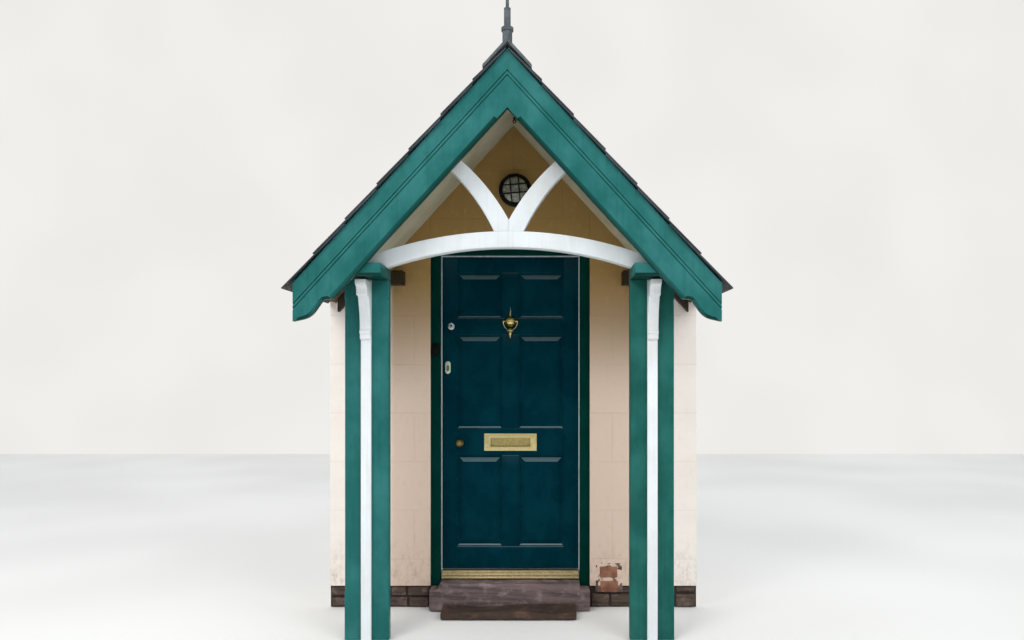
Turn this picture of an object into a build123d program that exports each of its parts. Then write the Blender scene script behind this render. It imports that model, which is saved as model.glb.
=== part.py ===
from build123d import *
from math import atan, cos, degrees, radians, sin, sqrt, tan
import os

os.makedirs("parts", exist_ok=True)

# Gabled timber entrance porch against a rendered house wall, with its front door.
# Millimetres. X to the right, Y into the house, Z up. The origin is on the ground,
# in line with the wall's outer face, under the middle of the roof.

# Roof
pitch = 47.5
roof_top = 3093.0
roof_half = 1130.0
verge_front = 865.0
slate_tail = 24.0
slate_head = 12.0
slate_courses = 7
deck_thickness = 18.0
deck_eaves_cut = 20.0
wall_rafter_width = 50.0
wall_rafter_depth = 53.0
wall_rafter_ridge_gap = 10.0
soffit_thickness = 12.0
ridge_wing = 125.0
ridge_thickness = 14.0
ridge_tile_length = 432.0
ridge_joint = 3.0
lead_thickness = 2.5
lead_cover = 120.0
lead_upstand = 75.0

# Bargeboards, and the truss set back between the plates
board_front = 845.0
board_thickness = 40.0
board_width = 200.0
board_reach = 1090.0
board_tail_height = 194.0
ogee_length = 200.0
ogee_knee = 73.0
ogee_knee_rise = 20.0
ogee_hollow = 124.0
ogee_hollow_rise = 72.0
ogee_brow = 152.0
ogee_brow_rise = 108.0
board_chamfer = 18.5
board_chamfer_stop = 53.0
rafter_thickness = 75.0
groove_distance = 81.0
groove_pitch = 16.0
groove_width = 6.0
groove_depth = 6.0
truss_face = 666.0
truss_thickness = 75.0
arch_underside = 2115.0
arch_radius = 2045.0
arch_depth = 85.0
brace_notch = 60.0
brace_foot = 78.0
brace_inner_reach = 315.0
brace_outer_reach = 363.0
brace_bow = 18.0

# Posts, plates and consoles
post_centre = 773.0
post_width = 240.0
post_thickness = 50.0
post_front = 580.0
post_chamfer = 9.0
post_chamfer_low = 260.0
post_chamfer_high = 1850.0
plate_underside = 1950.0
plate_height = 64.0
plate_chamfer = 12.0
eaves_beam = 113.0
wall_block_inner = 665.0
wall_block_low = 1984.0
wall_block_height = 82.0
wall_block_reach = 105.0
pilaster_width = 55.0
pilaster_thickness = 20.0
console_width = 58.0
console_drop = 12.0
console_reach = 135.0
console_height = 312.0

# House wall and door opening
wall_thickness = 300.0
wall_margin = 150.0
render_foot = 134.0
plinth_setback = 18.0
door_centre = -20.0
frame_width = 982.0
frame_top = 2235.0
frame_setback = 15.0
frame_depth = 85.0
frame_face = 61.0
frame_foot = 133.0
stop_depth = 35.0
draught_strip = 7.0
rib_radius = 3.5
running_gap = 5.0

# Stone at the foot of the door
sill_top = 172.0
sill_front = 89.0
step_width = 806.0
step_height = 70.0
step_front = 257.0

# Door leaf
leaf_lap = 8.0
leaf_thickness = 45.0
leaf_foot = 229.0
stile_width = 105.0
muntin_width = 102.0
top_rail = 112.0
frieze_rail_foot = 1685.0
frieze_rail = 103.0
lock_rail_foot = 933.0
lock_rail_height = 166.0
bottom_rail = 137.0
panel_thickness = 14.0
panel_raise = 12.0
field_margin = 40.0
moulding_width = 14.0
moulding_depth = 10.0
moulding_taper = 40.0

# Door furniture
letter_width = 328.0
letter_height = 108.0
letter_thickness = 6.0
letter_window_width = 246.0
letter_window_height = 55.0
letter_slot_width = 264.0
letter_slot_height = 72.0
letter_centre = 1015.0
flap_thickness = 4.0
flap_pin = 2.5
knob_backset = 127.0
knob_height = 1012.0
knob_radius = 23.0
knob_neck = 9.0
knob_stem = 10.0
knob_length = 43.7
knob_ease = 9.0
turned_flats = 20
rose_radius = 21.0
rose_thickness = 6.0
seat_gap = 0.5
cylinder_backset = 69.0
cylinder_height = 1736.0
cylinder_radius = 21.0
cylinder_thickness = 8.0
keyhole_backset = 48.0
keyhole_height = 1480.0
keyhole_width = 35.0
keyhole_length = 78.0
keyhole_thickness = 4.0
knocker_pivot = 1765.0
knocker_reach = 28.5
knocker_rim = 39.0
knocker_ear = 8.0
knocker_pin = 2.5
knocker_wire = 4.0
knocker_bow = 5.0
knocker_ball = 24.0
knocker_ball_drop = 56.0
hinge_radius = 6.0
hinge_length = 100.0
hinge_flap = 2.0
hinge_flap_width = 60.0
hinge_flap_inset = 20.0
hinge_heights = (430.0, 1200.0, 1970.0)

# Finial
finial_setback = 34.0
finial_base_radius = 31.0
finial_waist_radius = 25.0
finial_shaft_radius = 17.0
finial_spike_radius = 8.5
finial_skirt = 40.0
finial_base_height = 60.0
finial_collar_height = 18.0
finial_shaft_top = 160.0
finial_spike_top = 330.0
finial_point = 44.0

# Light and bell push
light_height = 2568.0
light_offset = 12.0
light_radius = 100.0
light_lens_radius = 77.0
light_base = 28.0
light_lens_rise = 34.0
light_bar = 7.0
light_guard_radius = 90.0
light_turn = 5.0
light_lens_chamfer = 18.0
bell_width = 52.0
bell_height = 78.0
bell_thickness = 14.0
bell_centre = 1591.0

# Derived lines of the roof, all given where they cross X = 0
slope = tan(radians(pitch))


def rise(thickness):
    """Height above a slope of a line that lies this far square to it."""
    return thickness / cos(radians(pitch))


def on_slope(apex, x):
    """Height at x of the roof line that has this apex."""
    return apex - x * slope


def save(part, label):
    part.label = label
    export_step(part, "parts/" + label + ".step")


board_low = roof_top - rise(board_width)
deck_low = roof_top - rise(deck_thickness)
rafter_low = deck_low - rise(wall_rafter_depth)
soffit_low = rafter_low - rise(soffit_thickness)
wall_apex = roof_top + rise(slate_tail + wall_margin)
slope_length = roof_half / cos(radians(pitch))
gauge = slope_length / slate_courses
rafter_front = board_front - board_thickness
truss_back = truss_face - truss_thickness
plate_top = plate_underside + plate_height
post_back = post_front - post_thickness
plate_inner = post_centre - post_width / 2
plate_outer = post_centre + post_width / 2
arch_centre = arch_underside - arch_radius
arch_outer_radius = arch_radius + arch_depth
slate_swell = (slate_tail - slate_head) / (gauge + slate_head * slope)
ridge_swell = slate_swell * (rise(ridge_wing) + slate_head * slope)
ridge_seat = (slate_head + ridge_swell) / (1 + slate_swell * slope) + 0.3
ridge_low = roof_top + rise(ridge_seat)
ridge_top = ridge_low + rise(ridge_thickness)
frame_half = frame_width / 2
leaf_front = frame_setback + stop_depth + running_gap
leaf_back = leaf_front + leaf_thickness
stop_half = frame_half - frame_face
leaf_half = stop_half + leaf_lap
rebate_half = leaf_half + running_gap
stop_top = frame_top - frame_face
leaf_top = stop_top + leaf_lap
rebate_top = leaf_top + running_gap
leaf_left = door_centre - leaf_half
hinge_x = door_centre + leaf_half + running_gap / 2
hinge_y = leaf_back + hinge_radius + 0.3
sides = ((-1, "left"), (1, "right"))


def on_arch(radius, x):
    """Height of the arch's edge of this radius at x."""
    return arch_centre + sqrt(radius**2 - x**2)


def barge_face(side):
    """Face of a bargeboard, from the apex to its ogee tail."""
    tail_low = on_slope(roof_top, board_reach) - board_tail_height
    ogee_start = board_reach - ogee_length
    with BuildSketch() as outline:
        with BuildLine():
            Polyline((0, board_low), (0, roof_top), (side * board_reach, on_slope(roof_top, board_reach)),
                     (side * board_reach, tail_low))
            Spline((side * board_reach, tail_low),
                   (side * (board_reach - ogee_knee), tail_low + ogee_knee_rise),
                   (side * (board_reach - ogee_hollow), tail_low + ogee_hollow_rise),
                   (side * (board_reach - ogee_brow), tail_low + ogee_brow_rise),
                   (side * ogee_start, on_slope(board_low, ogee_start)),
                   tangents=[(-side, 0.3), (-side, 0.1)])
            Line((side * ogee_start, on_slope(board_low, ogee_start)), (0, board_low))
        make_face()
    return outline.sketch


def turned(plane, rings):
    """A turned piece through rings of (distance along the axis, radius), in flats all round."""
    apothem_share = cos(radians(180 / turned_flats))
    with BuildPart() as piece:
        for (start, near), (end, far) in zip(rings, rings[1:]):
            with BuildSketch(plane.offset(start)):
                RegularPolygon(near, turned_flats)
            extrude(amount=end - start, taper=degrees(atan((near - far) * apothem_share / (end - start))))
    return piece.part


def turned_bulb(plane, radius, start, end, ease):
    """A bulb in flats between two distances along the axis, eased at both ends."""
    with BuildPart() as bulb:
        with BuildSketch(plane.offset(start)):
            RegularPolygon(radius, turned_flats)
        extrude(amount=end - start)
        ends = bulb.faces().sort_by(Axis(plane.origin, plane.z_dir))
        chamfer(ends[0].edges() + ends[-1].edges(), length=ease)
    return bulb.part


def slope_band(side, near, far, low, high):
    """A band between two roof lines, from x = near to x = far, cut plumb at both ends."""
    with BuildSketch() as band:
        with BuildLine():
            Polyline((side * near, on_slope(low, near)), (side * far, on_slope(low, far)),
                     (side * far, on_slope(high, far)), (side * near, on_slope(high, near)), close=True)
        make_face()
    return band.sketch


# House wall, in three plain slabs round the doorway
opening_left = door_centre - frame_half
opening_right = door_centre + frame_half
for side, label in sides:
    inner = opening_left if side < 0 else opening_right
    with BuildPart() as wall:
        with BuildSketch(Plane.XZ.offset(-wall_thickness)):
            with BuildLine():
                Polyline((inner, 0), (side * roof_half, 0),
                         (side * roof_half, on_slope(wall_apex, roof_half)),
                         (inner, on_slope(wall_apex, abs(inner))), close=True)
            make_face()
        extrude(amount=wall_thickness)
        with BuildSketch(Plane.XZ):
            with Locations(((inner + side * roof_half) / 2, 0)):
                Rectangle(abs(side * roof_half - inner), render_foot, align=(Align.CENTER, Align.MIN))
        extrude(amount=-plinth_setback, mode=Mode.SUBTRACT)
    save(wall.part, "wall_" + label)

with BuildPart() as wall_over_door:
    with BuildSketch(Plane.XZ.offset(-wall_thickness)):
        with BuildLine():
            Polyline((opening_left, frame_top), (opening_right, frame_top),
                     (opening_right, on_slope(wall_apex, opening_right)), (0, wall_apex),
                     (opening_left, on_slope(wall_apex, -opening_left)), close=True)
        make_face()
    extrude(amount=wall_thickness)
save(wall_over_door.part, "wall_over_door")

# Door sill stone, stooled down at both ends for the feet of the frame
with BuildPart() as sill_stone:
    with BuildSketch(Plane.XZ.offset(-wall_thickness)):
        with Locations((door_centre, 0)):
            Rectangle(frame_width, frame_foot, align=(Align.CENTER, Align.MIN))
            Rectangle(2 * stop_half, sill_top, align=(Align.CENTER, Align.MIN))
    extrude(amount=wall_thickness + sill_front)
    front_edges = sill_stone.edges().filter_by(Axis.X).group_by(Axis.Y)[0].sort_by(Axis.Z)
    fillet(front_edges[-1], radius=9)
save(sill_stone.part, "sill_stone")

# Worn front step
with BuildPart() as front_step:
    with BuildSketch(Plane.XY):
        with Locations((door_centre, -(sill_front + step_front) / 2)):
            Rectangle(step_width, step_front - sill_front)
    extrude(amount=step_height)
    fillet(front_step.edges().filter_by(Axis.X).group_by(Axis.Y)[0].sort_by(Axis.Z)[-1], radius=16)
save(front_step.part, "front_step")

# Door frame: two jambs and a head, rebated for the leaf
for side, label in sides:
    with BuildPart() as jamb:
        with BuildSketch(Plane.XY.offset(frame_foot)):
            with BuildLine():
                Polyline((door_centre + side * frame_half, frame_setback),
                         (door_centre + side * stop_half, frame_setback),
                         (door_centre + side * stop_half, frame_setback + stop_depth),
                         (door_centre + side * rebate_half, frame_setback + stop_depth),
                         (door_centre + side * rebate_half, frame_setback + frame_depth),
                         (door_centre + side * frame_half, frame_setback + frame_depth), close=True)
            make_face()
        extrude(amount=frame_top - frame_foot)
    save(jamb.part, "frame_jamb_" + label)

with BuildPart() as frame_head:
    with BuildSketch(Plane.YZ.offset(door_centre - stop_half)):
        with BuildLine():
            Polyline((frame_setback, frame_top), (frame_setback, stop_top),
                     (frame_setback + stop_depth, stop_top), (frame_setback + stop_depth, frame_top),
                     close=True)
        make_face()
    extrude(amount=2 * stop_half)
    with BuildSketch(Plane.YZ.offset(door_centre - rebate_half)):
        with BuildLine():
            Polyline((frame_setback + stop_depth, frame_top), (frame_setback + stop_depth, rebate_top),
                     (frame_setback + frame_depth, rebate_top), (frame_setback + frame_depth, frame_top),
                     close=True)
        make_face()
    extrude(amount=2 * rebate_half)
save(frame_head.part, "frame_head")

# White draught strip inside the frame's stop, at both sides and the top
with BuildPart() as draught_strips:
    with BuildSketch(Plane.XZ.offset(-frame_setback - stop_depth)):
        with BuildLine():
            Polyline((door_centre - stop_half, sill_top), (door_centre - stop_half, stop_top),
                     (door_centre + stop_half, stop_top), (door_centre + stop_half, sill_top),
                     (door_centre + stop_half - draught_strip, sill_top),
                     (door_centre + stop_half - draught_strip, stop_top - draught_strip),
                     (door_centre - stop_half + draught_strip, stop_top - draught_strip),
                     (door_centre - stop_half + draught_strip, sill_top), close=True)
        make_face()
    extrude(amount=10)
save(draught_strips.part, "draught_strips")

# Timber sill under the leaf, and its ribbed brass threshold
sill_half = stop_half - draught_strip
with BuildPart() as door_sill:
    with BuildSketch(Plane.YZ.offset(door_centre - sill_half)):
        with BuildLine():
            Polyline((frame_setback + 8, sill_top), (leaf_back, sill_top),
                     (leaf_back, leaf_foot - running_gap - 3),
                     (frame_setback + 8, leaf_foot - running_gap - 3),
                     close=True)
        make_face()
    extrude(amount=2 * sill_half)
save(door_sill.part, "door_sill")

with BuildPart() as brass_threshold:
    sill_rise = leaf_foot - running_gap - sill_top
    with BuildSketch(Plane.YZ.offset(door_centre - sill_half)):
        with BuildLine():
            Polyline((frame_setback + 8, sill_top), (frame_setback + 8, sill_top + sill_rise - 3),
                     (leaf_back - 10, sill_top + sill_rise - 3), (leaf_back - 10, sill_top + sill_rise),
                     (frame_setback + 5, sill_top + sill_rise), (frame_setback - 2, sill_top + 8),
                     (frame_setback - 2, sill_top), close=True)
        make_face()
    extrude(amount=2 * sill_half)
    with BuildSketch(Plane.YZ.offset(door_centre - sill_half)):
        for level in (0.12, 0.5, 0.88):
            with Locations((frame_setback - 1 + 6 * level, sill_top + sill_rise * level)):
                Circle(rib_radius)
    extrude(amount=2 * sill_half)
save(brass_threshold.part, "brass_threshold")

# Door leaf: stiles, rails, muntins and six raised and fielded panels
inner_half = leaf_half - stile_width
frieze_rail_top = frieze_rail_foot + frieze_rail
lock_rail_top = lock_rail_foot + lock_rail_height
bottom_rail_top = leaf_foot + bottom_rail
top_rail_foot = leaf_top - top_rail
panel_rows = ((bottom_rail_top, lock_rail_foot), (lock_rail_top, frieze_rail_foot),
              (frieze_rail_top, top_rail_foot))
leaf_plane = Plane.XZ.offset(-leaf_back)

with BuildPart() as door_stiles:
    with BuildSketch(leaf_plane):
        for side in (-1, 1):
            with Locations((door_centre + side * (leaf_half - stile_width / 2), leaf_foot)):
                Rectangle(stile_width, leaf_top - leaf_foot, align=(Align.CENTER, Align.MIN))
    extrude(amount=leaf_thickness)
save(door_stiles.part, "door_stiles")

with BuildPart() as door_rails:
    with BuildSketch(leaf_plane):
        for foot, height in ((leaf_foot, bottom_rail), (frieze_rail_foot, frieze_rail),
                             (top_rail_foot, top_rail)):
            with Locations((door_centre, foot)):
                Rectangle(2 * inner_half, height, align=(Align.CENTER, Align.MIN))
    extrude(amount=leaf_thickness)
save(door_rails.part, "door_rails")

with BuildPart() as lock_rail:
    with BuildSketch(leaf_plane):
        with Locations((door_centre, lock_rail_foot)):
            Rectangle(2 * inner_half, lock_rail_height, align=(Align.CENTER, Align.MIN))
        with Locations((door_centre, letter_centre)):
            Rectangle(letter_slot_width, letter_slot_height, mode=Mode.SUBTRACT)
    extrude(amount=leaf_thickness)
save(lock_rail.part, "lock_rail")

with BuildPart() as door_muntins:
    with BuildSketch(leaf_plane):
        for foot, top in panel_rows:
            with Locations((door_centre, foot)):
                Rectangle(muntin_width, top - foot, align=(Align.CENTER, Align.MIN))
    extrude(amount=leaf_thickness)
save(door_muntins.part, "door_muntins")

panel_width = inner_half - muntin_width / 2
panel_middle = (inner_half + muntin_width / 2) / 2
leaf_middle = (leaf_front + leaf_back) / 2
middle_plane = Plane.XZ.offset(-leaf_middle)
panel_face = Plane.XZ.offset(panel_thickness / 2 - leaf_middle)
field_taper = degrees(atan((field_margin - moulding_width) / panel_raise))
panels = [(door_centre + side * panel_middle, (foot + top) / 2, top - foot)
          for foot, top in panel_rows for side in (-1, 1)]


def panel_area(plane, x, z, height, margin):
    """A panel's opening on this plane, drawn in by a margin."""
    with BuildSketch(plane) as area:
        with Locations((x, z)):
            Rectangle(panel_width - 2 * margin, height - 2 * margin)
    return area.sketch


with BuildPart() as door_panels:
    for x, z, height in panels:
        extrude(panel_area(middle_plane, x, z, height, 0), amount=panel_thickness / 2)
        extrude(panel_area(panel_face, x, z, height, moulding_width), amount=panel_raise, taper=field_taper)
    mirror(about=middle_plane)
save(door_panels.part, "door_panels")

# Mouldings planted round every panel, on both faces of the leaf
with BuildPart() as panel_mouldings:
    for x, z, height in panels:
        extrude(panel_area(panel_face, x, z, height, 0), amount=moulding_depth)
        extrude(panel_area(panel_face, x, z, height, moulding_width), amount=moulding_depth,
                taper=-moulding_taper, mode=Mode.SUBTRACT)
    mirror(about=middle_plane)
save(panel_mouldings.part, "panel_mouldings")

# Letter plate, and its flap hung inside the slot
with BuildPart() as letter_plate:
    with BuildSketch(Plane.XZ.offset(-leaf_front)):
        with Locations((door_centre, letter_centre)):
            Rectangle(letter_width, letter_height)
            Rectangle(letter_window_width, letter_window_height, mode=Mode.SUBTRACT)
    extrude(amount=letter_thickness)
save(letter_plate.part, "letter_plate")

flap_width = letter_slot_width - 2 * running_gap
flap_height = letter_slot_height - 2 * running_gap
flap_plane_y = leaf_front + running_gap
flap_pin_y = flap_plane_y + flap_thickness / 2
flap_pin_z = letter_centre + flap_height / 2 - flap_pin
with BuildPart() as letter_flap:
    with BuildSketch(Plane.XZ.offset(-flap_plane_y - flap_thickness)):
        with Locations((door_centre, letter_centre - flap_pin / 2)):
            Rectangle(flap_width, flap_height - flap_pin)
    extrude(amount=flap_thickness)
    with BuildSketch(Plane.YZ.offset(door_centre - letter_slot_width / 2 + seat_gap)):
        with Locations((flap_pin_y, flap_pin_z)):
            Circle(flap_pin)
    extrude(amount=letter_slot_width - 2 * seat_gap)
save(letter_flap.part, "letter_flap")

# Urn knocker: the fixed half urn with an ear at each side of its lid, and a strike pad below it
knocker_y = leaf_front - knocker_reach
knocker_ear_out = knocker_rim + 1
knocker_ear_in = knocker_ear_out - knocker_ear
knocker_bore = knocker_pin + seat_gap
with BuildPart() as knocker_plate:
    add(turned(Plane((door_centre, leaf_front, knocker_pivot)),
               [(-33, 11), (-31, 13), (-15, 29), (-2, 31), (0, knocker_rim), (10, knocker_rim),
                (20, 33), (31, 10), (42, 5), (92, 0.8)]))
    split(bisect_by=Plane.XZ.offset(-leaf_front), keep=Keep.TOP)
    for side in (-1, 1):
        near = min(side * knocker_ear_in, side * knocker_ear_out)
        with BuildSketch(Plane.YZ.offset(door_centre + near)):
            with Locations((knocker_y, knocker_pivot)):
                Circle(2 * knocker_bore)
                Rectangle(knocker_reach, 4 * knocker_bore, align=(Align.MIN, Align.CENTER))
        extrude(amount=knocker_ear)
        with BuildSketch(Plane.YZ.offset(door_centre + near)):
            with Locations((knocker_y, knocker_pivot)):
                Circle(knocker_bore)
        extrude(amount=knocker_ear, mode=Mode.SUBTRACT)
    with BuildSketch(Plane.XZ.offset(-leaf_front)):
        with Locations((door_centre, knocker_pivot - knocker_ball_drop)):
            Circle(knocker_ball / 2)
    extrude(amount=knocker_reach - knocker_ball - seat_gap)
save(knocker_plate.part, "knocker_plate")

# Bail of the knocker: two bowed arms on pins in the ears, the striker ball and its drop
with BuildPart() as knocker_bail:
    arm_in = knocker_ear_out + 1
    arm_out = arm_in + knocker_wire
    for side in (-1, 1):
        with BuildSketch(Plane.XZ.offset(-knocker_y)):
            with BuildLine():
                start_out = (door_centre + side * arm_out, knocker_pivot + knocker_wire)
                start_in = (door_centre + side * arm_in, knocker_pivot + knocker_wire)
                foot_z = knocker_pivot - knocker_ball_drop + knocker_wire
                foot = (door_centre + side * knocker_ball / 2, foot_z)
                foot_in = (door_centre + side * (knocker_ball / 2 - knocker_wire), foot_z)
                bow_z = knocker_pivot - knocker_ball_drop / 2
                ThreePointArc(start_out, (door_centre + side * (arm_out - knocker_bow), bow_z), foot)
                Line(foot, foot_in)
                ThreePointArc(foot_in, (door_centre + side * (arm_in - knocker_bow), bow_z), start_in)
                Line(start_in, start_out)
            make_face()
        extrude(amount=knocker_wire / 2, both=True)
        with BuildSketch(Plane.YZ.offset(door_centre + min(side * knocker_ear_in, side * arm_out))):
            with Locations((knocker_y, knocker_pivot)):
                Circle(knocker_pin)
        extrude(amount=arm_out - knocker_ear_in)
    ball_plane = Plane((door_centre, knocker_y, knocker_pivot - knocker_ball_drop))
    add(turned(ball_plane, [(-48, 0.8), (-19, 9), (-14, 9)]))
    add(turned_bulb(ball_plane, knocker_ball, -15, 12, 9))
save(knocker_bail.part, "knocker_bail")

# Door knobs, one each side of the leaf
knob_x = leaf_left + knob_backset
with BuildPart() as door_roses:
    for start, way in ((leaf_front, 1), (leaf_back, -1)):
        with BuildSketch(Plane.XZ.offset(-start)):
            with Locations((knob_x, knob_height)):
                Circle(rose_radius)
        extrude(amount=way * rose_thickness)
save(door_roses.part, "knob_roses")

with BuildPart() as door_knobs:
    rose_clear = rose_thickness + seat_gap
    for start, way in ((leaf_front - rose_clear, -1), (leaf_back + rose_clear, 1)):
        knob_plane = Plane((knob_x, start, knob_height), z_dir=(0, way, 0))
        add(turned_bulb(knob_plane, knob_radius, knob_stem, knob_stem + knob_length, knob_ease))
        with BuildSketch(knob_plane):
            RegularPolygon(knob_neck, turned_flats)
        extrude(amount=knob_stem)
save(door_knobs.part, "door_knobs")

# Cylinder lock and keyhole cover
with BuildPart() as cylinder_lock:
    with BuildSketch(Plane.XZ.offset(-leaf_front)):
        with Locations((leaf_left + cylinder_backset, cylinder_height)):
            Circle(cylinder_radius)
    extrude(amount=cylinder_thickness)
save(cylinder_lock.part, "cylinder_lock")

with BuildPart() as keyhole_cover:
    with BuildSketch(Plane.XZ.offset(-leaf_front)):
        with Locations((leaf_left + keyhole_backset, keyhole_height)):
            SlotOverall(keyhole_length, keyhole_width, rotation=90)
    extrude(amount=keyhole_thickness)
save(keyhole_cover.part, "keyhole_cover")

# Butt hinges: knuckles behind the leaf, flaps on the right jamb
with BuildPart() as hinges:
    for height in hinge_heights:
        with BuildSketch(Plane.XY.offset(height - hinge_length / 2)):
            with Locations((hinge_x, hinge_y)):
                Circle(hinge_radius)
            with Locations((door_centre + rebate_half - hinge_flap / 2, leaf_back - hinge_flap_inset)):
                Rectangle(hinge_flap, hinge_flap_width)
        extrude(amount=hinge_length)
save(hinges.part, "hinges")

# Bell push on the left jamb
with BuildPart() as bell_push:
    with BuildSketch(Plane.XZ.offset(-frame_setback)):
        with Locations((door_centre - stop_half - frame_face / 2, bell_centre)):
            RectangleRounded(bell_width, bell_height, 5)
    extrude(amount=bell_thickness)
save(bell_push.part, "bell_push")

# Posts with stopped chamfers, their pilaster strips and consoles, the plates on top with their eaves
# beams back to the wall, and the blocks on the wall beside these
for side, label in sides:
    with BuildPart() as post:
        with BuildSketch(Plane.XY):
            with Locations((side * post_centre, -post_front + post_thickness / 2)):
                Rectangle(post_width, post_thickness)
        extrude(amount=plate_underside)
        for edge_side in (-1, 1):
            corner_x = side * post_centre + edge_side * post_width / 2
            with BuildSketch(Plane.XY.offset(post_chamfer_low)):
                with BuildLine():
                    Polyline((corner_x, -post_front), (corner_x - edge_side * post_chamfer, -post_front),
                             (corner_x, -post_front + post_chamfer), close=True)
                make_face()
            extrude(amount=post_chamfer_high - post_chamfer_low, mode=Mode.SUBTRACT)
    save(post.part, "post_" + label)

    with BuildPart() as pilaster:
        with BuildSketch(Plane.XY):
            with Locations((side * post_centre, -post_front - pilaster_thickness / 2)):
                Rectangle(pilaster_width, pilaster_thickness)
        extrude(amount=plate_underside)
    save(pilaster.part, "pilaster_" + label)

    console_back = -post_front - pilaster_thickness
    console_front = console_back - console_reach
    console_top = plate_underside - console_drop
    with BuildPart() as console:
        with BuildSketch(Plane.YZ.offset(side * post_centre - console_width / 2)):
            with BuildLine():
                Polyline((console_back, console_top), (console_front, console_top),
                         (console_front, console_top - 26))
                TangentArc((console_front, console_top - 26), (console_front + 35, console_top - 60),
                           tangent=(1, 0))
                Polyline((console_front + 35, console_top - 60), (console_front + 35, console_top - 80),
                         (console_front + 72, console_top - 85))
                Spline((console_front + 72, console_top - 85), (console_back - 32, console_top - 160),
                       (console_back - 19, console_top - 258), tangents=[(0.45, -1), (0, -1)])
                Polyline((console_back - 19, console_top - 258), (console_back - 27, console_top - 264),
                         (console_back - 27, console_top - 278), (console_back - 17, console_top - 284),
                         (console_back - 17, console_top - console_height + 8),
                         (console_back - 9, console_top - console_height),
                         (console_back, console_top - console_height), (console_back, console_top))
            make_face()
        extrude(amount=console_width)
    save(console.part, "console_" + label)

    with BuildPart() as plate:
        with BuildSketch(Plane.XY.offset(plate_underside)):
            with Locations((side * post_centre, -(rafter_front + post_back) / 2)):
                Rectangle(post_width, rafter_front - post_back)
            with Locations((side * (plate_outer - eaves_beam / 2), -rafter_front / 2)):
                Rectangle(eaves_beam, rafter_front)
        extrude(amount=plate_height)
        chamfer(plate.faces().sort_by(Axis.Y)[0].edges().sort_by(Axis.Z)[0], length=plate_chamfer)
    save(plate.part, "plate_" + label)

    wall_block_outer = plate_outer - eaves_beam
    with BuildPart() as wall_block:
        with BuildSketch(Plane.XZ):
            with Locations((side * (wall_block_inner + wall_block_outer) / 2, wall_block_low)):
                Rectangle(wall_block_outer - wall_block_inner, wall_block_height,
                          align=(Align.CENTER, Align.MIN))
        extrude(amount=wall_block_reach)
    save(wall_block.part, "wall_block_" + label)

# Arched tie between the plates, notched over them and cut plumb over the posts
with BuildPart() as arch_tie:
    with BuildSketch(Plane.XZ.offset(truss_back)):
        arch_end = (post_centre, on_arch(arch_outer_radius, post_centre))
        with BuildLine():
            ThreePointArc((-plate_inner, on_arch(arch_radius, plate_inner)), (0, arch_underside),
                          (plate_inner, on_arch(arch_radius, plate_inner)))
            Polyline((plate_inner, on_arch(arch_radius, plate_inner)), (plate_inner, plate_top),
                     (post_centre, plate_top), arch_end)
            ThreePointArc(arch_end, (0, arch_underside + arch_depth), (-post_centre, arch_end[1]))
            Polyline((-post_centre, arch_end[1]), (-post_centre, plate_top), (-plate_inner, plate_top),
                     (-plate_inner, on_arch(arch_radius, plate_inner)))
        make_face()
    extrude(amount=truss_thickness)
save(arch_tie.part, "arch_tie")

# Curved braces from the crown of the arch to the ceiling, mitred together at the middle
crown = arch_underside + arch_depth
for side, label in sides:
    foot = (side * brace_foot, on_arch(arch_outer_radius, brace_foot))
    outer_end = (side * brace_outer_reach, on_slope(soffit_low, brace_outer_reach))
    inner_end = (side * brace_inner_reach, on_slope(soffit_low, brace_inner_reach))
    notch = (0, crown + brace_notch)
    seat_mid = (side * brace_foot / 2, on_arch(arch_outer_radius, brace_foot / 2))
    outer_mid = ((foot[0] + outer_end[0]) / 2 - side * brace_bow, (foot[1] + outer_end[1]) / 2 + brace_bow)
    inner_mid = ((notch[0] + inner_end[0]) / 2 - side * brace_bow, (notch[1] + inner_end[1]) / 2 + brace_bow)
    with BuildPart() as brace:
        with BuildSketch(Plane.XZ.offset(truss_back)):
            with BuildLine():
                Line(notch, (0, crown))
                ThreePointArc((0, crown), seat_mid, foot)
                ThreePointArc(foot, outer_mid, outer_end)
                Line(outer_end, inner_end)
                ThreePointArc(inner_end, inner_mid, notch)
            make_face()
        extrude(amount=truss_thickness)
    save(brace.part, "brace_" + label)

# Bargeboards with a twin groove and a stopped chamfer, and the rafters that they are nailed to
for side, label in sides:
    with BuildPart() as bargeboard:
        with BuildSketch(Plane.XZ.offset(rafter_front)):
            add(barge_face(side))
        extrude(amount=board_thickness)
        with BuildSketch(Plane.XZ.offset(board_front)):
            for line in (-1, 1):
                groove = groove_distance + line * groove_pitch / 2
                add(slope_band(side, 0, board_reach, roof_top - rise(groove + groove_width / 2),
                               roof_top - rise(groove - groove_width / 2)))
        extrude(amount=-groove_depth, mode=Mode.SUBTRACT)
        chamfer_end = board_reach - ogee_length
        down_slope = (side * cos(radians(pitch)), 0, -sin(radians(pitch)))
        stop_point = (side * board_chamfer_stop, -board_front, on_slope(board_low, board_chamfer_stop))
        with BuildSketch(Plane(origin=stop_point, x_dir=(0, 1, 0), z_dir=down_slope)):
            with BuildLine():
                Polyline((0, board_chamfer), (0, -board_chamfer), (board_chamfer, 0), close=True)
            make_face()
        extrude(amount=(chamfer_end - board_chamfer_stop) / cos(radians(pitch)), mode=Mode.SUBTRACT)
    save(bargeboard.part, "bargeboard_" + label)

    with BuildPart() as barge_rafter:
        with BuildSketch(Plane.XZ.offset(rafter_front - rafter_thickness)):
            add(slope_band(side, 0, board_reach - deck_eaves_cut, rafter_low, deck_low))
            with Locations((0, plate_top)):
                Rectangle(2 * plate_outer, plate_height, align=(Align.CENTER, Align.MAX), mode=Mode.SUBTRACT)
        extrude(amount=rafter_thickness)
    save(barge_rafter.part, "barge_rafter_" + label)

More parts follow.
